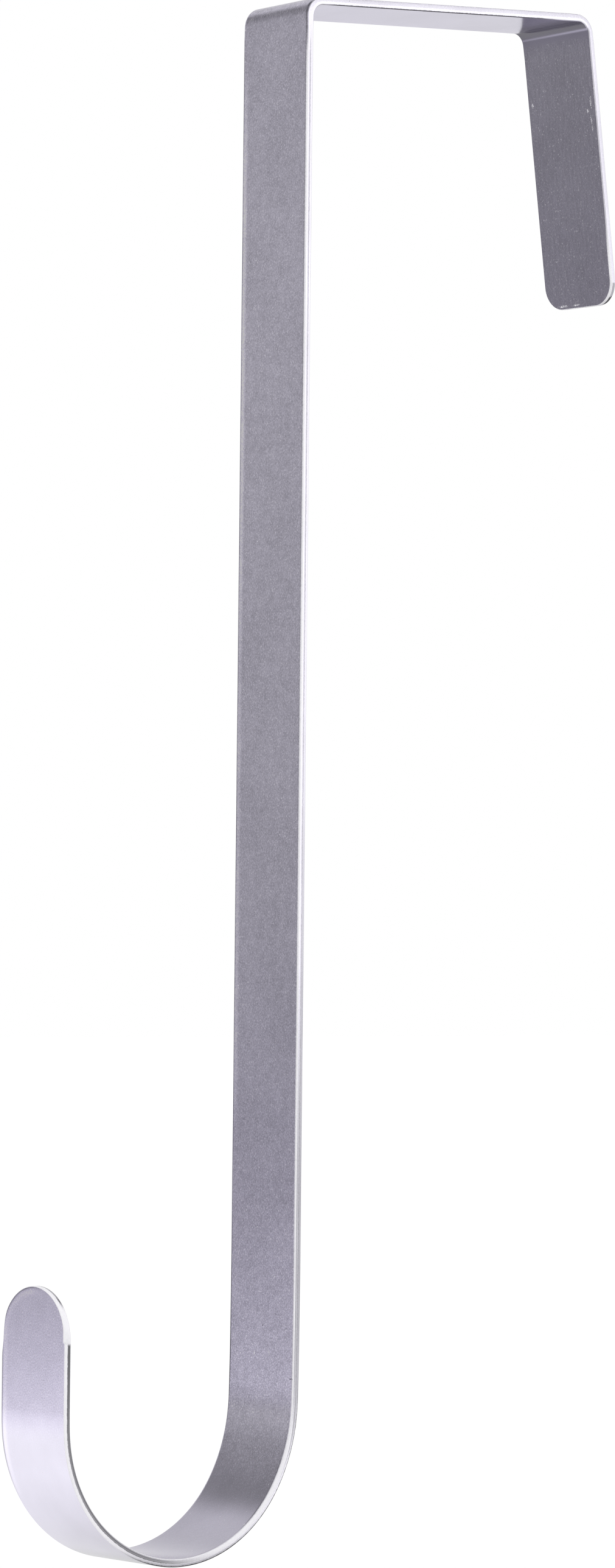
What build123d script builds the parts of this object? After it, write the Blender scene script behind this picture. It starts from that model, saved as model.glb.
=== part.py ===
"""Over door hook: one flat metal strip folded over the top of a door and curled into a hook.

Frame in millimetres: +Z up, +Y towards the back of the door, X across the strip.
The origin is the middle of the seat, the underside of the band that lies on the door's top edge.
The shank hangs straight down in front of the door and its back face is vertical.
"""

import os
from math import radians, tan

from build123d import *

# Strip stock
strip_width = 15.0
strip_thickness = 1.2
edge_radius = 0.4

# Fold over the door: both bends spring back and stop short of a square corner
bend_turn = 86.2
bend_radius = 1.8
seat_length = 53.6
tongue_length = 42.9
tongue_corner_radius = 3.7

# Shank and hook: radii are those of the hook's inside face
shank_length = 198.6
hook_lead_radius = 51.0
hook_lead_turn = 11.8
hook_radius = 19.6
hook_turn = 180.0
tip_length = 19.4

# Lengths are given to the sharp corners, so each flat run gives up what its bends take
bend_setback = bend_radius * tan(radians(bend_turn / 2))
straight_down = 270.0


def door_side_line():
    """Line of the face that lies against the door, from the tongue's end to the hook's tip.

    Drawn in the side plane, with the first coordinate towards the back and the second up.
    """
    tongue = PolarLine((0, 0), tongue_length - bend_setback, angle=straight_down - 2 * bend_turn)
    rear_bend = JernArc(tongue @ 1, tongue % 1, bend_radius, bend_turn)
    seat = PolarLine(rear_bend @ 1, seat_length - 2 * bend_setback, direction=rear_bend % 1)
    front_bend = JernArc(seat @ 1, seat % 1, bend_radius, bend_turn)
    shank = PolarLine(front_bend @ 1, shank_length - bend_setback, direction=front_bend % 1)
    hook_lead = JernArc(shank @ 1, shank % 1, hook_lead_radius + strip_thickness, -hook_lead_turn)
    hook_bend = JernArc(
        hook_lead @ 1, hook_lead % 1, hook_radius + strip_thickness, hook_lead_turn - hook_turn
    )
    tip = PolarLine(hook_bend @ 1, tip_length, direction=hook_bend % 1)
    runs = [tongue, rear_bend, seat, front_bend, shank, hook_lead, hook_bend, tip]
    to_origin = Pos(-(seat @ 0.5))
    return Wire([to_origin * run.edge() for run in runs])


def end_plane(point, heading):
    """Plane in the strip's face at one end, with X across the strip and Y out of the end."""
    across = Vector(1, 0, 0)
    outward = Vector(0, heading.X, heading.Y)
    return Plane(origin=(0, point.X, point.Y), x_dir=across, z_dir=across.cross(outward))


def round_tip_waste(end):
    """What a full-round punch takes off the square end of the strip."""
    tip_radius = strip_width / 2
    blank = Pos(0, -tip_radius) * Rectangle(
        2 * strip_width, strip_width, align=(Align.CENTER, Align.MIN)
    )
    waste = blank - Pos(0, -tip_radius) * Circle(tip_radius)
    return extrude(end * waste, amount=2 * strip_thickness, both=True)


def folded_strip():
    line = door_side_line()
    side_view = make_face(offset(line, strip_thickness, side=Side.RIGHT))
    strip = extrude(Plane.YZ * side_view, amount=strip_width / 2, both=True)

    tongue_end = end_plane(line @ 0, -(line % 0))
    through = Axis(tongue_end.origin, tongue_end.z_dir)
    corners = strip.edges().filter_by(through).sort_by_distance(tongue_end.origin)[:2]
    strip = fillet(corners, tongue_corner_radius)

    strip -= round_tip_waste(end_plane(line @ 1, line % 1))

    # The rim of both wide faces: every edge but the bend lines and those through the thickness
    def is_rim(edge):
        smooth_lengths = (strip_width, strip_thickness)
        is_smooth = any(abs(edge.length - length) < 0.01 for length in smooth_lengths)
        return not (is_smooth and edge.geom_type == GeomType.LINE)

    return fillet(strip.edges().filter_by(is_rim), edge_radius)


hook = folded_strip()
hook.label = "door_hook"

os.makedirs("parts", exist_ok=True)
export_step(hook, "parts/door_hook.step")
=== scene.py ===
"""Looks of the over door hook: one folded strip of satin metal with sheared edges, on a white set.

Metres, in the part's frame: +Z up, +Y towards the back of the door, X across the strip.
The strip is drawn flat first: s runs along it from the tongue's end to the tip, w across it,
and d through it, from the door side to the outer side. It is then folded as the part is.
"""

from functools import partial, reduce
from math import pi, radians, tan
from types import SimpleNamespace

import bpy
import numpy as np
from mathutils import Matrix, Vector


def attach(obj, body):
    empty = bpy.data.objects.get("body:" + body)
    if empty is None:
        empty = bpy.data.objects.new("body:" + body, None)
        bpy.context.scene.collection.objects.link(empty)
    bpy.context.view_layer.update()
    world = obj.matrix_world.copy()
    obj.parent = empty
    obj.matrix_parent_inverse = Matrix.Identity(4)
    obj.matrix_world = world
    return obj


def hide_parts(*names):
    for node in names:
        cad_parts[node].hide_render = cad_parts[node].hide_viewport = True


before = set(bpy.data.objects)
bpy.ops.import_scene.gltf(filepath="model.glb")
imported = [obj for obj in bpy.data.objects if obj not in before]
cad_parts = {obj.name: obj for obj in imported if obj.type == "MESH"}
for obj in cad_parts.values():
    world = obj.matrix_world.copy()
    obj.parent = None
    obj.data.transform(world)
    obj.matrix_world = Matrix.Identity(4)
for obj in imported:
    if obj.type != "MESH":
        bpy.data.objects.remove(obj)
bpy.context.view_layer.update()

MM = 0.001

# Strip stock
STRIP_WIDTH = 15.0 * MM
STRIP_THICKNESS = 1.2 * MM

# Fold over the door
BEND_TURN = radians(86.2)
BEND_RADIUS = 1.8 * MM
SEAT_LENGTH = 53.6 * MM
TONGUE_LENGTH = 42.9 * MM
TONGUE_CORNER_RADIUS = 3.7 * MM

# Shank and hook: radii are those of the hook's inside face. The photo's shading shows a faint bow
# low on the shank and then a shorter, tighter lead-in than the part's, within 0.3 mm of it
SHANK_LENGTH = 182.13 * MM
SHANK_BOW_LENGTH = 21.0 * MM
SHANK_BOW_TURN = radians(1.0)
HOOK_LEAD_RADIUS = 24.0 * MM
HOOK_LEAD_TURN = radians(30.9)
HOOK_RADIUS = 19.5 * MM
HOOK_TURN = radians(180.0)
TIP_LENGTH = 19.4 * MM

# Lengths over which the bends ease in and out
TIGHT_EASE = 0.8 * MM
HOOK_EASE = 5.0 * MM

# Sheared edge: rolled corner at the outer face, burnished band, thin groove, torn band, burr corner
ROLL_WIDTH = 0.50 * MM
ROLL_DEPTH = 0.26 * MM
GROOVE_PLACE = 0.50 * MM
GROOVE_WIDTH = 0.10 * MM
GROOVE_FLOOR = 0.04 * MM
GROOVE_DEPTH = 0.03 * MM
TORN_INSET = 0.02 * MM
BURR_RADIUS = 0.14 * MM

# Metal squeezed out sideways at the inside of each tight bend, less away from the bend's middle
BEND_BULGE = 0.12 * MM
BULGE_FALL = 2.0

# The punch that rounded the tip left a bevel at the door face: (side, from, to, blend, depth), with
# places measured back from the tip's end
TIP_CUTS = (
    (1, 7.8 * MM, 4.0 * MM, 0.35 * MM, 0.30 * MM),
    (-1, 10.5 * MM, 3.0 * MM, 3.5 * MM, 0.33 * MM),
)

# Mesh density: turns shorter than SHORT_TURN have BEND_STEPS steps
COLUMNS = 10
CORNER_STEPS = 14
TIP_STEPS = 36
ROLL_POINTS = 9
BURR_POINTS = 5
CUT_POINTS = 6
STRAIGHT_STEP = 2.0 * MM
STATION_MARGIN = 0.2 * MM
SHORT_TURN = 15.0 * MM
BEND_STEPS = 26
HOOK_STEP_TURN = radians(2.0)
LINE_STEP = 0.02 * MM

# The photograph's camera
IMAGE_HEIGHT = 2576
FOCAL_PIXELS = 8907
SENSOR = 36.0
CLIP_START = 0.01
CLIP_END = 50.0
CAMERA_PLACE = Vector((619.31, -521.98, -138.92)) * MM
CAMERA_AZIMUTH = radians(50.994)
CAMERA_ELEVATION = radians(-1.697)
CAMERA_ROLL = radians(0.595)

# Finish: a lavender-grey metal. In the finish, places on the strip are in mm: along it from the
# tongue's end, across it from the middle line to the right, and through it from the door face.
# A pair is where a smooth change begins and ends, and a stretch has a pair for each of its ends
METAL = (0.80, 0.765, 0.905, 1.0)
ROUGHNESS = 0.17
ROUGHNESS_RANGE = (0.25, 0.75)
ROUGHNESS_CHANGE = 0.02
FACE_BORDER = (0.3, 0.5)
BEFORE_STRIP = (-2.0, -1.0)
PAST_STRIP = (390.0, 391.0)

# Noises: cells per mm, or cells per mm along, across and through
NOISE_DETAIL = 2.0
NOISE_MIDDLE = 0.5
NOISE_RANGE = (0.3, 0.7)
WARP_SCALE = 3.0
GRAIN_SCALE = (3.6, 4.8, 4.8)
GRAIN_FINENESS = 0.8
MOTTLE_SCALE = 0.7
CLOUD_SCALE = 0.09
STREAK_SCALE = (0.45, 2.2, 2.2)
DASH_SCALE = (2.6, 3.4, 3.4)

# How far the noises change the tone; the grain has brighter peaks and a height
GRAIN_TONE = 1.16
GRAIN_PEAK = 0.58
GRAIN_PEAK_GAIN = 2.0
GRAIN_HEIGHT = 0.006 * MM
MOTTLE_TONE = 0.05
CLOUD_TONE = 0.04

# Grain left by wear: little in the bowl's inside, half on the tip, hardly any on the door face
# between tongue and tip
BOWL_WEAR = (306.0, 316.0)
BOWL_GRAIN = (1.0, 0.15)
BOWL_SLANT = 0.22
TIP_WEAR = (362.0, 369.0)
TIP_GRAIN = (0.08, 0.5)
EDGE_GRAIN = 0.25

# The outer face is darker, and some lengths of the faces near the bowl have painted shading:
# (begin, end, change of tone)
OUTER_TONE = 0.80
OUTER_SHADING_LENGTHS = (
    ((262.0, 276.0), (284.0, 296.0), 0.07),
    ((296.0, 300.0), (302.0, 305.0), 0.12),
    ((300.0, 303.0), (305.0, 310.0), -0.10),
)
DOOR_SHADING_LENGTHS = (((300.0, 310.0), (339.0, 344.0), -0.20),)

# The tongue's door face is duller, streaked and flecked with short dashes
TONGUE_FADE = (41.5, 42.4)
TONGUE_DULL = 0.47
TONGUE_ROUGHER = 0.06
TONGUE_GRAIN = 0.55
TONGUE_MOTTLE = 1.3
DASH_SHARE = (0.54, 0.70)
DASH_WHITE = 0.42
DASH_GATHERING = (0.40, 0.60)
DASH_LEAST = 0.35

# Folding polished the inside of the rear bend
FOLD_POLISH = ((40.2, 41.2), (44.2, 45.5))
FOLD_ROUGHNESS = 0.13

# Left rims of tip and shank look rounded over by painted shading: a painted shade line and a
# painted highlight band inside it, placed by distance from the middle line. The shank's painted
# highlights are (begin, end, change of tone)
TIP_RIM_ALONG = (352.0, 362.0)
TIP_RIM_ACROSS = (-1.0, 2.5)
TIP_RIM_LINE = (7.08, 7.3)
TIP_RIM_SHADE = -0.45
TIP_RIM_BAND = ((5.9, 6.7), (6.85, 7.1))
TIP_RIM_HIGHLIGHT = 0.14
SHANK_RIM_ALONG = ((97.0, 102.0), (300.0, 306.0))
SHANK_RIM_LINE = (7.08, 7.25)
SHANK_RIM_SHADE = -0.58
SHANK_RIM_BAND = ((6.0, 6.75), (6.95, 7.15))
SHANK_RIM_HIGHLIGHTS = (
    ((100.0, 112.0), (248.0, 268.0), 0.32),
    ((108.0, 122.0), (165.0, 192.0), 0.18),
)

# Sheared edge: torn band and groove on the slit sides, smooth on the punched ends. A rim pair tells
# how far the surface faces sideways: 0 on the wide faces, 1 on the edge
EDGE_METAL = (0.85, 0.83, 0.90, 1.0)
EDGE_NEUTRAL = 0.7
EDGE_RIM = (0.6, 0.9)
EDGE_SMOOTHER = 0.8
SLIT_BEGIN = (97.0, 104.0)
SLIT_END = (376.7, 377.3)
GROOVE_END = (298.0, 312.0)
# Painted shade in the groove: its profile across the groove, and how dark it is before the bowl
GROOVE_SHADE = (0.03, 0.11)
GROOVE_PAINTED_SHADE = 0.40
JAG_SIZE = 0.03
TORN_BAND = (0.42, 0.48)
TORN_ROUGHNESS = 0.22
TORN_RELIEF = 0.4
BURNISHED_BAND = (0.48, 0.54)
BURNISHED_ROUGHNESS = 0.10
DOOR_CORNER_RIM = (0.05, 0.4)
DOOR_CORNER_BAND = (0.12, 0.20)
DOOR_HALF_RIM = (0.15, 0.4)
DOOR_HALF_BAND = (0.42, 0.62)
OUTER_LINE_RIM = (0.3, 0.6)
OUTER_LINE_BAND = (0.62, 0.72)
ROLLED_RIM = (0.1, 0.6)
ROLLED_BAND = (0.92, 0.98)

# Dark lengths of the edge's bands: (band, begin, end, how dark)
DARK_LENGTHS = (
    ("torn", (190.0, 240.0), (296.0, 310.0), 0.25),
    ("burnished", BEFORE_STRIP, (94.0, 97.0), 0.16),
    ("burnished", (322.0, 338.0), SLIT_END, 0.66),
    ("door_corner", (47.0, 52.0), (91.0, 94.0), 0.72),
    ("door_corner", (285.0, 305.0), (336.0, 346.0), 0.85),
    ("outer_line", (381.3, 382.8), PAST_STRIP, 0.6),
)

# Lengths of the edge's bands with painted highlights, white where the edge catches the light:
# (band, begin, end, how white)
EDGE_HIGHLIGHT_LENGTHS = (
    ("rolled", SLIT_BEGIN, SLIT_END, 0.9),
    ("burnished", (296.0, 312.0), (326.0, 342.0), 0.8),
    ("door_half", BEFORE_STRIP, (6.0, 14.0), 0.9),
    ("door_half", (335.0, 348.0), PAST_STRIP, 0.9),
)
# Painted highlight on the punched ends
PUNCHED_HIGHLIGHT = 0.85

# White of scuffs and specks, and of the painted highlights on the edges, uneven by the warp noise
WHITE_COLOUR = (0.96, 0.95, 0.98, 1.0)
WHITE_METALLIC = 0.05
WHITE_ROUGHER = 0.4
SCUFF_RANGE = (0.35, 0.6)
SCUFF_LEVELS = (0.35, 0.9)
# How the painted highlights on the edges vary with the warp noise
EDGE_HIGHLIGHT_RANGE = (0.3, 0.6)
EDGE_HIGHLIGHT_LEVELS = (0.88, 1.0)

# Specks: cells per mm, border in cells from a cell's middle, share of the cells that have one
SPECK_SCALE = 0.55
SPECK_BORDER = (0.0225, 0.045)
SPECK_SHARE = 0.5

# Ragged marks: (along, across, half length, half width); their border is in half sizes
MARK_BORDER = (0.5, 1.1)
MARK_RAGGED = (-0.5, 0.9)
SPOT_COLOUR = (0.05, 0.04, 0.05, 1.0)
SPOT_SHARE = 0.85
DOOR_FACE_MARKS = (
    (30.8, 6.7, 0.9, 0.20),
    (29.6, 5.9, 0.35, 0.25),
    (28.1, 6.5, 0.8, 0.18),
    (26.9, 6.6, 0.5, 0.15),
    (31.7, -6.5, 0.35, 0.3),
    (0.5, -3.6, 0.2, 1.2),
    (0.5, -0.6, 0.15, 0.9),
)
OUTER_FACE_MARKS = (
    (318.6, -6.1, 0.2, 0.12),
    (319.2, 7.1, 0.25, 0.15),
    (291.9, -1.5, 0.28, 0.13),
    (291.7, 1.9, 0.34, 0.12),
    (295.15, -0.6, 0.22, 0.12),
)
DARK_SPOTS = (
    (287.8, 0.3, 0.12, 0.10),
    (89.05, 7.15, 0.12, 0.3),
    (74.5, 7.15, 0.16, 0.22),
    (295.2, 7.05, 0.1, 0.3),
    (383.4, 5.7, 0.25, 0.3),
)

# White set behind the hook and dim room in front of it, as metal sees them: 1 is white. They change
# with the parts of a direction to the right, to the back and up: (from, to) or, with the levels
# before and after, (from, to, level, level)
WHITE = (1.0, 1.0, 1.0, 1.0)
SET_EDGE = (-0.28, 0.03)
SET_LEFT = (-0.4, -0.1)
SET_BY_HEIGHT = (0.1, 0.65, 1.0, 0.56)
LEFT_BY_HEIGHT = ((0.0, 0.2, 0.72, 0.80), (0.2, 0.6, 1.0, 0.82))
ROOM_BY_SIDE = (-0.7, -0.2, 0.52, 0.28)
ROOM_BY_HEIGHT = ((0.045, 0.085, 0.88, 1.0), (0.08, 0.55, 1.0, 0.56))
RIGHT_SIDE = (0.2, 0.5)
RIGHT_SET_EDGE = (0.05, 0.3)
RIGHT_LEVEL = 0.5
ROOM_LIGHT = 1.0

# Floor: to the camera, white paint that is lifted more at a distance
FLOOR_LEVEL = -0.24
FLOOR_REACH = 4.0
FLOOR_COLOUR = (0.8, 0.8, 0.8, 1.0)
FLOOR_LIFT = (0.5, 2.5, 0.17, 0.26)

# Metal sees a bright sheet on the floor, a dark card beside it at the left, and grey beyond
SHEET_TURN = radians(-139.5)
SHEET_AHEAD = ((0.02, 0.10, 0.65, 1.0), (0.25, 0.8, 1.08, 0.42))
SHEET_ASIDE = (-0.10, -0.05, 0.20, 1.0)
GREY_REACH = (0.6, 1.1)
GREY_BY_BACK = (-0.5, 0.3, 0.40, 0.76)
NEAR_TINT = (1.0, 1.01, 0.98, 1.0)
FAR_TINT = (1.0, 0.985, 1.06, 1.0)
TINT_REACH = (0.15, 0.5)

# On the right, turning from +X to the back, it sees a dim part, a white one, a card that is bright
# up close and far off, and a grey part
RIGHT_BORDER = (0.0, 0.04)
RIGHT_WHITE_TURN = radians(6.0)
RIGHT_DIM_LEVEL = 0.5
RIGHT_CARD_TURN = radians(16.0)
RIGHT_CARD_NEAR = (0.22, 0.45, 1.25, 0.5)
RIGHT_CARD_FAR = (1.8, 3.2, 0.0, 0.45)
RIGHT_GREY_TURN = radians(46.0)
RIGHT_GREY_LEVEL = 0.65

# Softboxes: (name, place, size, brightness), aimed at one place
LAMP_AIM = Vector((0.0, 0.0, -0.05))
SOFTBOXES = (
    ("side_softbox", Vector((1.2, 0.9, 0.4)), 1.2, 0.25),
    ("top_softbox", Vector((0.3, 0.95, 1.1)), 1.0, 0.6),
)


def strip_runs():
    """(length, turn) of each run of the door-side line, from the tongue's end to the tip."""
    setback = BEND_RADIUS * tan(BEND_TURN / 2)
    bend = (BEND_RADIUS * BEND_TURN, BEND_TURN)
    bowl_turn = HOOK_TURN - HOOK_LEAD_TURN - SHANK_BOW_TURN
    return [
        (TONGUE_LENGTH - setback, 0.0),
        bend,
        (SEAT_LENGTH - 2 * setback, 0.0),
        bend,
        (SHANK_LENGTH - setback, 0.0),
        (SHANK_BOW_LENGTH, -SHANK_BOW_TURN),
        ((HOOK_LEAD_RADIUS + STRIP_THICKNESS) * HOOK_LEAD_TURN, -HOOK_LEAD_TURN),
        ((HOOK_RADIUS + STRIP_THICKNESS) * bowl_turn, -bowl_turn),
        (TIP_LENGTH, 0.0),
    ]


RUNS = strip_runs()
RUN_STARTS = np.concatenate([[0.0], np.cumsum([length for length, turn in RUNS])])
STRIP_LENGTH = RUN_STARTS[-1]
START_HEADING = radians(270.0) - 2 * BEND_TURN
SEAT_RUN = 2
TIGHT_BENDS = (1, 3)


def eased_share(s, start, length, ease):
    """Share of a turn made by s: a straight ramp from start, averaged over a window of length ease."""

    def ramp_area(along):
        inside = np.clip(along, 0.0, length)
        return inside**2 / (2 * length) + np.maximum(along - length, 0.0)

    along = s - start
    return (ramp_area(along + ease / 2) - ramp_area(along - ease / 2)) / ease


def heading_angle(s):
    """Direction of the folded line at s."""
    angle = np.full(s.shape, START_HEADING)
    for number, (length, turn) in enumerate(RUNS):
        if turn:
            ease = TIGHT_EASE if number in TIGHT_BENDS else HOOK_EASE
            angle += turn * eased_share(s, RUN_STARTS[number], length, ease)
    return angle


def door_side_line(s):
    """Place and heading of the folded line at s, as complex numbers: +Y is real, +Z imaginary."""
    fine = np.linspace(0.0, STRIP_LENGTH, int(STRIP_LENGTH / LINE_STEP))
    heading = np.exp(1j * heading_angle(fine))
    steps = (heading[1:] + heading[:-1]) / 2 * np.diff(fine)
    line = np.concatenate([[0j], np.cumsum(steps)])
    seat_middle = RUN_STARTS[SEAT_RUN] + RUNS[SEAT_RUN][0] / 2
    line -= np.interp(seat_middle, fine, line)
    return np.interp(s, fine, line), np.exp(1j * heading_angle(s))


def smooth_step(value, low, high):
    """0 below low, 1 above high, smooth between."""
    share = np.clip((value - low) / (high - low), 0.0, 1.0)
    return share * share * (3 - 2 * share)


def run_steps(length, turn):
    """How many steps a run is drawn with."""
    if not turn:
        return int(np.ceil(length / STRAIGHT_STEP))
    if length < SHORT_TURN:
        return BEND_STEPS
    return int(np.ceil(max(abs(turn) / HOOK_STEP_TURN, length / STRAIGHT_STEP)))


def side_stations():
    """Values of s down the straight sides, closer together in the bends and where bevels begin."""
    found = []
    for (length, turn), start in zip(RUNS, RUN_STARTS):
        steps = run_steps(length, turn)
        found.append(start + length * np.arange(steps) / steps)
    for side, begin, end, blend, depth in TIP_CUTS:
        found.append(STRIP_LENGTH - begin + np.linspace(0.0, blend, CUT_POINTS))
    found = np.concatenate(found)
    low = TONGUE_CORNER_RADIUS + STATION_MARGIN
    high = STRIP_LENGTH - STRIP_WIDTH / 2 - STATION_MARGIN
    return np.sort(found[(found > low) & (found < high)])


def directions(first, last, steps):
    """Unit vectors that turn from one angle to another."""
    angles = np.linspace(first, last, steps + 1)
    return np.column_stack([np.cos(angles), np.sin(angles)])


def right_outline():
    """Right half of the flat strip's outline: points (s, w) and outward normals, tongue end to tip."""
    half = STRIP_WIDTH / 2
    corner_normals = directions(pi, pi / 2, CORNER_STEPS)
    corner_centre = np.array([TONGUE_CORNER_RADIUS, half - TONGUE_CORNER_RADIUS])
    corner = corner_centre + TONGUE_CORNER_RADIUS * corner_normals
    stations = side_stations()
    side_normals = np.tile([0.0, 1.0], (len(stations), 1))
    side = np.column_stack([stations, np.full(len(stations), half)])
    tip_normals = directions(pi / 2, 0, TIP_STEPS)
    tip_centre = np.array([STRIP_LENGTH - half, 0.0])
    tip = tip_centre + half * tip_normals
    points = np.concatenate([corner, side, tip])
    return points, np.concatenate([corner_normals, side_normals, tip_normals])


def outline_loop():
    """The whole outline as a loop of points and normals, with the numbers of its sides and tip."""
    right, right_normals = right_outline()
    left, left_normals = right * [1, -1], right_normals * [1, -1]
    share = np.linspace(0, 1, COLUMNS + 1)[1:-1, None]
    end = left[0] + (right[0] - left[0]) * share
    end_normals = np.tile(right_normals[0], (COLUMNS - 1, 1))
    last = len(right) - 1
    tip = COLUMNS + last
    return SimpleNamespace(
        points=np.concatenate([left[:1], end, right, left[-2:0:-1]]),
        normals=np.concatenate([left_normals[:1], end_normals, right_normals, left_normals[-2:0:-1]]),
        right=COLUMNS + np.arange(last),
        left=np.concatenate([[0], tip + last - np.arange(1, last)]),
        tip=tip,
    )


def tip_cut(s, side):
    """How far the punch cut into the door face beside the tip."""
    cut = np.zeros(s.shape)
    for cut_side, begin, end, blend, depth in TIP_CUTS:
        if cut_side == side:
            start = STRIP_LENGTH - begin
            fade = smooth_step(s, start + blend, STRIP_LENGTH - end)
            cut += depth * smooth_step(s, start, start + blend) * (1 - fade)
    return cut


def slit_share(s):
    """1 along the slit sides, 0 where the edge is smooth."""
    begin, end = np.array(SLIT_BEGIN) * MM, np.array(GROOVE_END) * MM
    return smooth_step(s, *begin) * (1 - smooth_step(s, *end))


def rim_section(slit):
    """Section of the edge from outer face to door face: insets, depths and normals.

    The groove and the torn band are there for slit = 1 and gone for slit = 0.
    """
    roll = np.linspace(pi / 2, 0, ROLL_POINTS)
    outer_inset = ROLL_WIDTH * (1 - np.cos(roll))
    outer_depth = STRIP_THICKNESS - ROLL_DEPTH * (1 - np.sin(roll))
    groove_inset = slit * np.array([0.0, GROOVE_DEPTH, GROOVE_DEPTH, TORN_INSET])
    groove_widths = np.array([GROOVE_WIDTH, GROOVE_FLOOR, -GROOVE_FLOOR, -GROOVE_WIDTH])
    groove_depth = GROOVE_PLACE + groove_widths / 2
    burr = np.linspace(0, pi / 2, BURR_POINTS)
    door_inset = slit * TORN_INSET + BURR_RADIUS * (1 - np.cos(burr))
    door_depth = BURR_RADIUS * (1 - np.sin(burr))
    inset = np.concatenate([outer_inset, groove_inset, door_inset])
    depth = np.concatenate([outer_depth, groove_depth, door_depth])
    run = np.diff(np.column_stack([-inset, depth]), axis=0)
    across = np.column_stack([-run[:, 1], run[:, 0]])
    across /= np.linalg.norm(across, axis=1)[:, None]
    normal = np.concatenate([[[0.0, 1.0]], across[:-1] + across[1:], [[0.0, -1.0]]])
    normal /= np.linalg.norm(normal, axis=1)[:, None]
    return inset, depth, normal


def bend_bulge(s, d):
    """Sideways growth at the tight bends: out on the squeezed side, in on the stretched side."""
    grown = np.zeros(s.shape)
    for run in TIGHT_BENDS:
        length = RUNS[run][0]
        offset = (s - RUN_STARTS[run] - length / 2) / length
        grown += np.exp(-BULGE_FALL * offset**2)
    return BEND_BULGE * grown * (1 - 2 * d / STRIP_THICKNESS)


class StripMesh:
    """Gathers the flat strip's points and faces, then folds them."""

    def __init__(self):
        self.flat = []
        self.normals = []
        self.rim = []
        self.faces = []
        self.count = 0

    def add(self, points, depth, normals, rim):
        """Adds points (s, w) at one depth; normals are (s, w, d) parts. Returns their numbers."""
        size = len(points)
        self.flat.append(np.column_stack([points, np.full(size, depth)]))
        self.normals.append(normals)
        self.rim.append(np.zeros(size) + rim)
        self.count += size
        return np.arange(self.count - size, self.count)

    def fold(self):
        """Folded points, their normals, flat places and rim shares."""
        flat, normal = np.concatenate(self.flat), np.concatenate(self.normals)
        s, w, d = flat.T
        line, heading = door_side_line(s)
        out = -1j * heading
        place = line + d * out
        w = w + bend_bulge(s, d) * 2 * w / STRIP_WIDTH
        turned = normal[:, 0] * heading + normal[:, 2] * out
        points = np.column_stack([w, place.real, place.imag])
        normals = np.column_stack([normal[:, 1], turned.real, turned.imag])
        return points, normals, flat, np.concatenate(self.rim)


def add_edge(strip, loop):
    """The sheared edge, from the outer face to the door face. Returns (ring, outline, depth) rows."""
    s, w = loop.points.T
    slit = slit_share(s)[:, None]
    cut = np.where(w > 0, tip_cut(s, 1), tip_cut(s, -1))
    bevel = np.arctan(cut / STRIP_THICKNESS)
    smooth_insets, depths, smooth_normals = rim_section(0.0)
    slit_insets, depths, slit_normals = rim_section(1.0)
    rows = []
    for row, depth in enumerate(depths):
        inset = smooth_insets[row] + (slit_insets[row] - smooth_insets[row]) * slit
        inset = inset + (cut * (1 - depth / STRIP_THICKNESS))[:, None]
        outline = loop.points - inset * loop.normals
        outward, through = (smooth_normals[row] * (1 - slit) + slit_normals[row] * slit).T
        tilt = bevel * outward
        tilted_outward = outward * np.cos(tilt) + through * np.sin(tilt)
        tilted_through = through * np.cos(tilt) - outward * np.sin(tilt)
        normals = np.column_stack([loop.normals * tilted_outward[:, None], tilted_through])
        rows.append((strip.add(outline, depth, normals, outward), outline, depth))
    rings = [ring for ring, outline, depth in rows]
    for upper, lower in zip(rings, rings[1:]):
        strip.faces.extend(zip(upper, np.roll(upper, -1), np.roll(lower, -1), lower))
    return rows


def add_wide_face(strip, loop, row, through):
    """A wide face inside a row of the edge: a grid with a fan at the tip.

    through is 1 for the outer face and -1 for the door face.
    """
    ring, outline, depth = row
    count = len(loop.right)
    grid = np.zeros((count, COLUMNS + 1), int)
    grid[0] = ring[: COLUMNS + 1]
    grid[:, 0] = ring[loop.left]
    grid[:, -1] = ring[loop.right]
    normals = np.tile([0.0, 0.0, through], (count - 1, 1))
    for column in range(1, COLUMNS):
        share = column / COLUMNS
        inner = outline[loop.left] * (1 - share) + outline[loop.right] * share
        grid[1:, column] = strip.add(inner[1:], depth, normals, 0.0)
    faces = []
    for near, far in zip(grid, grid[1:]):
        faces.extend(zip(near, near[1:], far[1:], far))
    faces.extend((first, second, ring[loop.tip]) for first, second in zip(grid[-1], grid[-1, 1:]))
    facing = -1 if through > 0 else 1
    strip.faces.extend(face[::facing] for face in faces)


def build_strip():
    """The folded strip as one closed mesh with its own smooth normals."""
    strip = StripMesh()
    loop = outline_loop()
    rows = add_edge(strip, loop)
    add_wide_face(strip, loop, rows[0], 1.0)
    add_wide_face(strip, loop, rows[-1], -1.0)
    return strip


def strip_object():
    """The folded strip, with its flat places and rim shares kept for the finish."""
    strip = build_strip()
    points, normals, flat, rim = strip.fold()
    mesh = bpy.data.meshes.new("folded_strip")
    faces = [tuple(int(number) for number in face) for face in strip.faces]
    mesh.from_pydata(points.tolist(), [], faces)
    mesh.polygons.foreach_set("use_smooth", np.ones(len(mesh.polygons), bool))
    flat_place = mesh.attributes.new("flat_place", "FLOAT_VECTOR", "POINT")
    flat_place.data.foreach_set("vector", flat.astype(np.float32).ravel())
    rim_share = mesh.attributes.new("rim_share", "FLOAT", "POINT")
    rim_share.data.foreach_set("value", rim.astype(np.float32))
    mesh.normals_split_custom_set_from_vertices(normals.tolist())
    mesh.update()
    piece = bpy.data.objects.new("folded_strip", mesh)
    bpy.context.scene.collection.objects.link(piece)
    return piece


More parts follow.
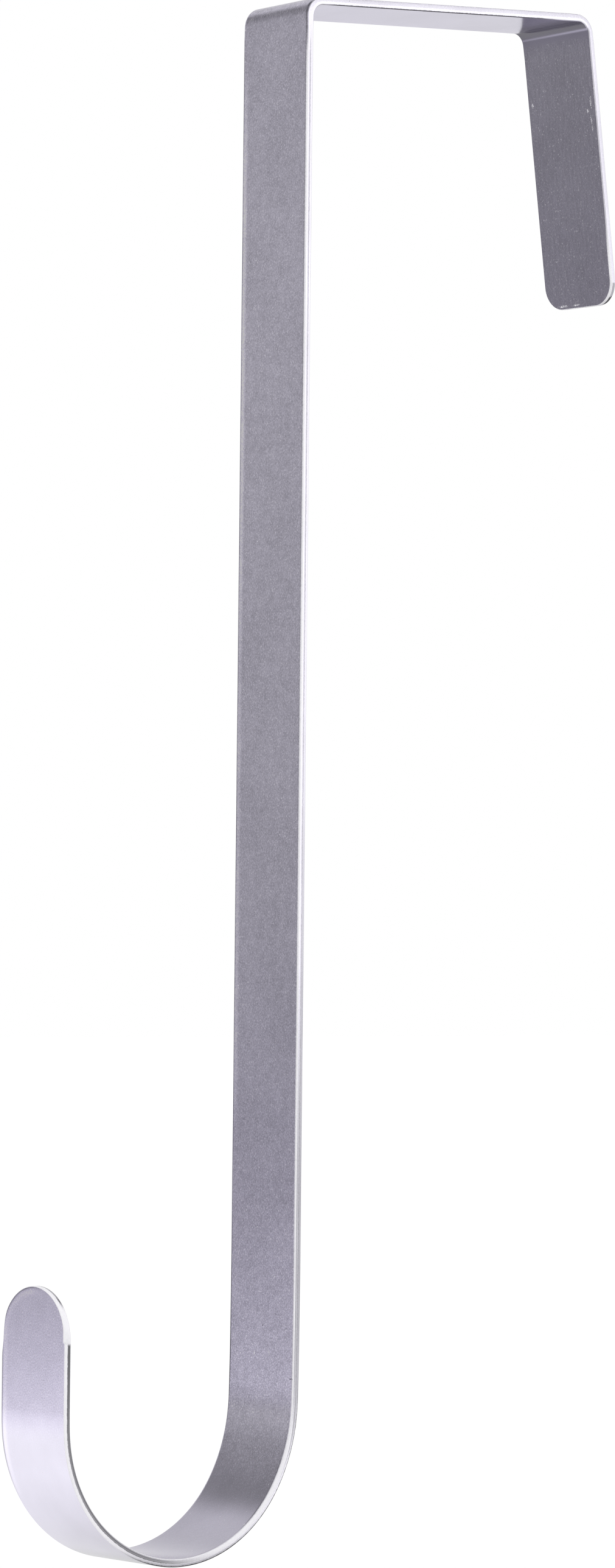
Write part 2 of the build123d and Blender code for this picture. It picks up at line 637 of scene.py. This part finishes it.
class NodeTree:
    """A short way to write shader nodes. Values are numbers or outputs of other nodes."""

    def __init__(self, tree):
        self.tree = tree
        tree.nodes.clear()

    def add(self, kind, inputs=None, **settings):
        node = self.tree.nodes.new("ShaderNode" + kind)
        for name, value in settings.items():
            setattr(node, name, value)
        for name, value in (inputs or {}).items():
            socket = node.inputs[name]
            if isinstance(value, bpy.types.NodeSocket):
                self.tree.links.new(value, socket)
            else:
                socket.default_value = value
        return node

    def math(self, operation, first, second=0.0):
        return self.add("Math", {0: first, 1: second}, operation=operation).outputs[0]

    def times(self, *values):
        return reduce(partial(self.math, "MULTIPLY"), values)

    def plus(self, *values):
        return reduce(partial(self.math, "ADD"), values)

    def most(self, *values):
        return reduce(partial(self.math, "MAXIMUM"), values)

    def less(self, first, second):
        return self.math("SUBTRACT", first, second)

    def rest(self, share):
        """What a share leaves of 1."""
        return self.math("SUBTRACT", 1.0, share)

    def diagonal(self, first, second):
        """Distance whose parts on two square axes are given."""
        return self.math("SQRT", self.plus(self.times(first, first), self.times(second, second)))

    def ramp(self, value, low, high, to_low=0.0, to_high=1.0):
        """Smooth change from to_low at low to to_high at high."""
        sockets = {
            "Value": value,
            "From Min": low,
            "From Max": high,
            "To Min": to_low,
            "To Max": to_high,
        }
        return self.add("MapRange", sockets, interpolation_type="SMOOTHSTEP").outputs[0]

    def fall(self, value, low, high):
        """Smooth change from 1 at low to 0 at high."""
        return self.ramp(value, low, high, 1.0, 0.0)

    def fade(self, share, level):
        """Smooth change from 1 to a level as a share grows from 0 to 1."""
        return self.ramp(share, 0.0, 1.0, 1.0, level)

    def span(self, value, begin, end):
        """1 between two smooth borders."""
        return self.times(self.ramp(value, *begin), self.fall(value, *end))

    def blend(self, share, first, second):
        """Mix of two numbers."""
        return self.add("Mix", {0: share, 2: first, 3: second}).outputs[0]

    def mix(self, share, first, second):
        """Mix of two colours."""
        return self.add("Mix", {0: share, 6: first, 7: second}, data_type="RGBA").outputs[2]

    def scaled(self, vector, scale):
        return self.add("VectorMath", {0: vector, "Scale": scale}, operation="SCALE").outputs["Vector"]

    def stretched(self, vector, scales):
        return self.add("Mapping", {"Vector": vector, "Scale": scales}).outputs[0]

    def noise(self, space, scale=1.0, fineness=0.5):
        sockets = {"Vector": space, "Scale": scale, "Detail": NOISE_DETAIL, "Roughness": fineness}
        return self.add("TexNoise", sockets).outputs[0]


def strip_places(t):
    """Places on the flat strip in mm and shares of its faces, as node outputs."""
    at = SimpleNamespace()
    flat_place = t.add("Attribute", attribute_name="flat_place").outputs["Vector"]
    at.place = t.scaled(flat_place, 1 / MM)
    at.along, at.across, at.through = t.add("SeparateXYZ", {0: at.place}).outputs
    past_round = t.most(t.less(at.along, (STRIP_LENGTH - STRIP_WIDTH / 2) / MM), 0.0)
    at.from_middle = t.diagonal(at.across, past_round)
    at.rim = t.add("Attribute", attribute_name="rim_share").outputs["Fac"]
    at.edge = t.ramp(at.rim, *EDGE_RIM)
    at.door_face = t.fall(at.through, *FACE_BORDER)
    at.outer_face = t.rest(at.door_face)
    at.tongue = t.times(t.fall(at.along, *TONGUE_FADE), at.door_face)
    at.polish = t.times(t.span(at.along, *FOLD_POLISH), at.door_face)
    at.unpolished = t.rest(at.polish)
    return at


def add_noises(t, at):
    """Noises on the flat strip."""
    at.warp = t.noise(at.place, WARP_SCALE)
    at.grain = t.noise(t.stretched(at.place, GRAIN_SCALE), fineness=GRAIN_FINENESS)
    at.mottle = t.noise(at.place, MOTTLE_SCALE)
    at.cloud = t.noise(at.place, CLOUD_SCALE)
    at.streaks = t.noise(t.stretched(at.place, STREAK_SCALE))
    at.dashes = t.noise(t.stretched(at.place, DASH_SCALE))
    at.ragged = t.ramp(at.grain, *NOISE_RANGE, *MARK_RAGGED)
    at.jag = t.plus(at.through, t.ramp(at.warp, *NOISE_RANGE, -JAG_SIZE, JAG_SIZE))


def add_bands(t, at):
    """Bands that shearing left along the edge, with jagged borders."""
    slit = t.times(at.edge, t.span(at.along, SLIT_BEGIN, SLIT_END))
    from_groove = t.math("ABSOLUTE", t.less(at.jag, GROOVE_PLACE / MM))
    right_side = t.math("GREATER_THAN", at.across, 0.0)
    at.bands = {
        "groove": t.times(slit, t.fall(from_groove, *GROOVE_SHADE)),
        "torn": t.times(slit, t.fall(at.jag, *TORN_BAND)),
        "burnished": t.times(at.edge, t.ramp(at.jag, *BURNISHED_BAND)),
        "door_corner": t.times(t.ramp(at.rim, *DOOR_CORNER_RIM), t.fall(at.jag, *DOOR_CORNER_BAND)),
        "door_half": t.times(t.ramp(at.rim, *DOOR_HALF_RIM), t.fall(at.jag, *DOOR_HALF_BAND)),
        "outer_line": t.times(t.ramp(at.rim, *OUTER_LINE_RIM), t.ramp(at.jag, *OUTER_LINE_BAND)),
        "rolled": t.times(t.ramp(at.rim, *ROLLED_RIM), t.ramp(at.through, *ROLLED_BAND), right_side),
    }


def grain_kept(t, at):
    """How much of the grain wear has left."""
    door_grain = t.most(t.ramp(at.along, *TIP_WEAR, *TIP_GRAIN), at.tongue)
    slanted = t.less(at.along, t.times(at.across, BOWL_SLANT))
    outer_grain = t.ramp(slanted, *BOWL_WEAR, *BOWL_GRAIN)
    kept = t.blend(at.door_face, outer_grain, door_grain)
    return t.times(kept, t.fade(at.edge, EDGE_GRAIN), at.unpolished)


def grain_tone(t, at):
    """Tone of the grain, mottles and clouds, and of the dull tongue."""
    peaks = t.times(t.most(t.less(at.grain, GRAIN_PEAK), 0.0), GRAIN_PEAK_GAIN)
    grains = t.times(t.plus(t.less(at.grain, NOISE_MIDDLE), peaks), GRAIN_TONE)
    grains = t.times(grains, t.fade(at.tongue, TONGUE_GRAIN))
    uneven = t.blend(at.tongue, at.mottle, at.streaks)
    mottles = t.ramp(uneven, *NOISE_RANGE, -MOTTLE_TONE, MOTTLE_TONE)
    mottles = t.times(mottles, t.fade(at.tongue, TONGUE_MOTTLE))
    clouds = t.ramp(at.cloud, *NOISE_RANGE, -CLOUD_TONE, CLOUD_TONE)
    tone = t.plus(t.times(t.plus(grains, mottles), grain_kept(t, at)), 1.0, clouds)
    return t.times(tone, t.rest(t.times(at.tongue, TONGUE_DULL)))


def face_tone_and_shading(t, at):
    """Tone of the two wide faces along the strip, with painted shading on lengths near the bowl."""
    wide = t.rest(at.edge)
    outer = t.times(at.outer_face, wide)
    door = t.times(at.door_face, wide)
    tone = t.blend(outer, 1.0, OUTER_TONE)
    # Painted shading on lengths of the faces near the bowl
    for face, lengths in ((outer, OUTER_SHADING_LENGTHS), (door, DOOR_SHADING_LENGTHS)):
        for begin, end, change in lengths:
            tone = t.times(tone, t.plus(1.0, t.times(face, t.span(at.along, begin, end), change)))
    return tone


def tip_rim_painted_light(t, at):
    """Painted shade line and painted highlight band on the tip's left rim."""
    rim = t.times(t.ramp(at.along, *TIP_RIM_ALONG), t.fall(at.across, *TIP_RIM_ACROSS), at.door_face)
    # A painted shade line at the rim and a painted highlight band inside it
    line = t.ramp(at.from_middle, *TIP_RIM_LINE, 0.0, TIP_RIM_SHADE)
    band = t.times(t.span(at.from_middle, *TIP_RIM_BAND), TIP_RIM_HIGHLIGHT)
    return t.plus(1.0, t.times(rim, t.plus(line, band)))


def shank_rim_painted_light(t, at):
    """Painted shade line and painted highlight bands on the shank's left rim."""
    # A painted shade line along the rim and painted highlight bands inside it
    line = t.ramp(at.from_middle, *SHANK_RIM_LINE, 0.0, SHANK_RIM_SHADE)
    change = t.times(line, t.span(at.along, *SHANK_RIM_ALONG))
    band = t.span(at.from_middle, *SHANK_RIM_BAND)
    for begin, end, rim_highlight in SHANK_RIM_HIGHLIGHTS:
        change = t.plus(change, t.times(band, t.span(at.along, begin, end), rim_highlight))
    left_side = t.math("LESS_THAN", at.across, 0.0)
    return t.plus(1.0, t.times(change, at.outer_face, left_side))


def strongest(t, at, share, lengths):
    """A share, or that of any of the listed lengths of the edge's bands where it is greater."""
    for band, begin, end, level in lengths:
        share = t.most(share, t.times(at.bands[band], t.span(at.along, begin, end), level))
    return share


def edge_dark(t, at):
    """How dark the painted shade in the groove and the other dark lengths of the edge are."""
    groove = t.times(at.bands["groove"], t.ramp(at.along, *GROOVE_END, GROOVE_PAINTED_SHADE, 0.0))
    return strongest(t, at, groove, DARK_LENGTHS)


def ragged_marks(t, at, marks):
    """Share of small ragged marks: each is (along, across, half length, half width)."""
    share = 0.0
    for along, across, half_length, half_width in marks:
        far = t.math("DIVIDE", t.less(at.along, along), half_length)
        wide = t.math("DIVIDE", t.less(at.across, across), half_width)
        share = t.most(share, t.fall(t.plus(t.diagonal(far, wide), at.ragged), *MARK_BORDER))
    return share


def specks(t, at):
    """Specks scattered over the strip: some of the cells have one."""
    cells = t.add("TexVoronoi", {"Vector": at.place, "Scale": SPECK_SCALE})
    draw = t.add("SeparateColor", {0: cells.outputs["Color"]}).outputs[0]
    chosen = t.math("LESS_THAN", draw, SPECK_SHARE)
    return t.times(t.fall(cells.outputs["Distance"], *SPECK_BORDER), chosen)


def white_share(t, at, dark):
    """How white the strip is: specks, dashes, scuffs and glints, and painted highlights on the edges.
    """
    gathered = t.ramp(at.mottle, *DASH_GATHERING, DASH_LEAST, 1.0)
    dashes = t.ramp(at.dashes, *DASH_SHARE, 0.0, DASH_WHITE)
    dashes = t.times(dashes, gathered, at.tongue, at.unpolished)
    scuffs = t.times(ragged_marks(t, at, DOOR_FACE_MARKS), at.door_face)
    glints = t.times(ragged_marks(t, at, OUTER_FACE_MARKS), at.outer_face)
    marks = t.most(specks(t, at), dashes, scuffs, glints)
    marks = t.times(marks, t.ramp(at.warp, *SCUFF_RANGE, *SCUFF_LEVELS))
    # Painted highlights on the punched ends and along lengths of the edge
    punched = t.times(at.edge, t.ramp(at.along, *SLIT_END), PUNCHED_HIGHLIGHT)
    edge_highlight = t.times(strongest(t, at, punched, EDGE_HIGHLIGHT_LENGTHS), t.rest(dark))
    return t.most(marks, t.times(edge_highlight, t.ramp(at.warp, *EDGE_HIGHLIGHT_RANGE, *EDGE_HIGHLIGHT_LEVELS)))


def metal_colour(t, at, dark, white):
    """Colour of the metal under its tones, white and dark spots."""
    # The tone carries painted shading: on the left rims and on lengths of the faces near the bowl
    tone = t.times(grain_tone(t, at), face_tone_and_shading(t, at), tip_rim_painted_light(t, at), shank_rim_painted_light(t, at))
    metal = t.mix(t.times(at.edge, EDGE_NEUTRAL), METAL, EDGE_METAL)
    colour = t.scaled(metal, t.times(tone, t.rest(dark)))
    colour = t.mix(white, colour, WHITE_COLOUR)
    spots = t.times(ragged_marks(t, at, DARK_SPOTS), SPOT_SHARE)
    return t.mix(spots, colour, SPOT_COLOUR)


def metal_roughness(t, at, white):
    """Roughness of faces, polished bend, edge bands and white."""
    rough = t.ramp(at.grain, *ROUGHNESS_RANGE, -ROUGHNESS_CHANGE, ROUGHNESS_CHANGE)
    rough = t.plus(rough, ROUGHNESS, t.times(at.tongue, TONGUE_ROUGHER))
    rough = t.blend(at.polish, rough, FOLD_ROUGHNESS)
    rough = t.blend(at.edge, rough, BURNISHED_ROUGHNESS)
    rough = t.blend(at.bands["torn"], rough, TORN_ROUGHNESS)
    return t.plus(rough, t.times(white, WHITE_ROUGHER))


def metal_relief(t, at):
    """Normals of the grain and the torn band."""
    grain = t.times(at.grain, t.rest(t.times(at.edge, EDGE_SMOOTHER)), at.unpolished)
    height = t.plus(grain, t.times(at.warp, at.bands["torn"], TORN_RELIEF))
    return t.add("Bump", {"Height": height, "Strength": 1.0, "Distance": GRAIN_HEIGHT}).outputs[0]


def satin_metal():
    """The strip's metal, drawn on its flat places."""
    material = bpy.data.materials.new("satin_metal")
    material.use_nodes = True
    t = NodeTree(material.node_tree)
    at = strip_places(t)
    add_noises(t, at)
    add_bands(t, at)
    dark = edge_dark(t, at)
    white = white_share(t, at, dark)
    shader = t.add(
        "BsdfPrincipled",
        {
            "Base Color": metal_colour(t, at, dark, white),
            "Metallic": t.fade(white, WHITE_METALLIC),
            "Roughness": metal_roughness(t, at, white),
            "Normal": metal_relief(t, at),
        },
    )
    t.add("OutputMaterial", {"Surface": shader.outputs[0]})
    return material


def camera():
    """The photograph's camera."""
    data = bpy.data.cameras.new("photo_camera")
    data.sensor_width = SENSOR
    data.lens = SENSOR * FOCAL_PIXELS / IMAGE_HEIGHT
    data.clip_start = CLIP_START
    data.clip_end = CLIP_END
    made = bpy.data.objects.new("photo_camera", data)
    bpy.context.scene.collection.objects.link(made)
    turn = Matrix.Rotation(CAMERA_AZIMUTH, 4, "Z")
    tilt = Matrix.Rotation(pi / 2 - CAMERA_ELEVATION, 4, "X")
    roll = Matrix.Rotation(CAMERA_ROLL, 4, "Z")
    made.matrix_world = Matrix.Translation(CAMERA_PLACE) @ turn @ tilt @ roll
    bpy.context.scene.camera = made


def on_stage(name, mesh, material):
    """An object that belongs to the set and not to the part."""
    made = bpy.data.objects.new(name, mesh)
    made.data.materials.append(material)
    bpy.context.scene.collection.objects.link(made)


def studio_world():
    """White to the camera. Metal sees a white set behind and beside it and a dim room in front."""
    made = bpy.data.worlds.new("white_set")
    bpy.context.scene.world = made
    made.use_nodes = True
    t = NodeTree(made.node_tree)
    towards = t.add("TexCoord").outputs["Generated"]
    to_right, to_back, up = t.add("SeparateXYZ", {0: towards}).outputs
    room = t.times(t.ramp(to_right, *ROOM_BY_SIDE), *(t.ramp(up, *change) for change in ROOM_BY_HEIGHT))
    left = t.times(*(t.ramp(up, *change) for change in LEFT_BY_HEIGHT))
    behind = t.blend(t.ramp(to_right, *SET_LEFT), left, t.ramp(up, *SET_BY_HEIGHT))
    level = t.blend(t.ramp(to_back, *SET_EDGE), room, behind)
    dim = t.times(t.fall(to_back, *RIGHT_SET_EDGE), t.ramp(to_right, *RIGHT_SIDE))
    level = t.blend(dim, level, RIGHT_LEVEL)
    path = t.add("LightPath")
    strength = t.blend(path.outputs["Is Glossy Ray"], ROOM_LIGHT, level)
    strength = t.blend(path.outputs["Is Camera Ray"], strength, 1.0)
    shader = t.add("Background", {"Color": WHITE, "Strength": strength})
    t.add("OutputWorld", {"Surface": shader.outputs[0]})


def plan(t, place, turn=0.0):
    """The two level parts of a place, on axes turned from +X and +Y."""
    turned = t.add("VectorRotate", {"Vector": place, "Angle": -turn}, rotation_type="Z_AXIS")
    return t.add("SeparateXYZ", {0: turned.outputs[0]}).outputs[:2]


def past_turn(t, place, turn):
    """1 on the floor past a line from the middle that is turned from +X."""
    return t.ramp(plan(t, place, turn)[1], *RIGHT_BORDER)


def mirrored_floor(t, place, apart):
    """Brightness and tint of the floor as metal sees it."""
    to_right, to_back = plan(t, place)
    ahead, aside = plan(t, place, SHEET_TURN)
    sheet = t.times(*(t.ramp(ahead, *change) for change in SHEET_AHEAD), t.ramp(aside, *SHEET_ASIDE))
    left = t.blend(t.ramp(apart, *GREY_REACH), sheet, t.ramp(to_back, *GREY_BY_BACK))
    right_side = t.ramp(to_right, *RIGHT_BORDER)
    right = t.blend(past_turn(t, place, RIGHT_WHITE_TURN), RIGHT_DIM_LEVEL, 1.0)
    card = t.plus(t.ramp(apart, *RIGHT_CARD_NEAR), t.ramp(apart, *RIGHT_CARD_FAR))
    card = t.blend(past_turn(t, place, RIGHT_GREY_TURN), card, RIGHT_GREY_LEVEL)
    level = t.blend(right_side, left, right)
    level = t.blend(t.times(right_side, past_turn(t, place, RIGHT_CARD_TURN)), level, card)
    return level, t.mix(t.ramp(ahead, *TINT_REACH), NEAR_TINT, FAR_TINT)


def floor_material():
    """White with the part's shadow to the camera; metal sees a sheet and cards on it."""
    material = bpy.data.materials.new("white_floor")
    material.use_nodes = True
    t = NodeTree(material.node_tree)
    place = t.add("NewGeometry").outputs["Position"]
    below = (0.0, 0.0, FLOOR_LEVEL)
    apart = t.add("VectorMath", {0: place, 1: below}, operation="DISTANCE").outputs["Value"]
    path = t.add("LightPath")
    paint = t.add("BsdfDiffuse", {"Color": FLOOR_COLOUR})
    lift_level = t.times(path.outputs["Is Camera Ray"], t.ramp(apart, *FLOOR_LIFT))
    lift = t.add("Emission", {"Strength": lift_level})
    seen = t.add("AddShader", {0: paint.outputs[0], 1: lift.outputs[0]})
    level, tint = mirrored_floor(t, place, apart)
    mirrored = t.add("Emission", {"Color": tint, "Strength": level})
    shaders = {0: path.outputs["Is Glossy Ray"], 1: seen.outputs[0], 2: mirrored.outputs[0]}
    surface = t.add("MixShader", shaders)
    t.add("OutputMaterial", {"Surface": surface.outputs[0]})
    return material


def floor():
    """A wide level square under the hook."""
    mesh = bpy.data.meshes.new("floor")
    signs = ((-1, -1), (1, -1), (1, 1), (-1, 1))
    corners = [(x * FLOOR_REACH, y * FLOOR_REACH, FLOOR_LEVEL) for x, y in signs]
    mesh.from_pydata(corners, [], [(0, 1, 2, 3)])
    on_stage("floor", mesh, floor_material())


def softbox(name, place, size, level):
    """Square area lamp of one brightness, which the camera doesn't see."""
    data = bpy.data.lights.new(name, "AREA")
    data.size = size
    data.energy = level * pi * size**2
    lamp = bpy.data.objects.new(name, data)
    lamp.location = place
    lamp.rotation_mode = "QUATERNION"
    lamp.rotation_quaternion = (LAMP_AIM - place).to_track_quat("-Z", "Y")
    lamp.visible_camera = False
    bpy.context.scene.collection.objects.link(lamp)


hook = strip_object()
hook.data.materials.append(satin_metal())
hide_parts("door_hook")
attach(hook, "root")

camera()
studio_world()
floor()
for lamp_name, lamp_place, lamp_size, lamp_level in SOFTBOXES:
    softbox(lamp_name, lamp_place, lamp_size, lamp_level)
bpy.context.scene.view_settings.view_transform = "Standard"
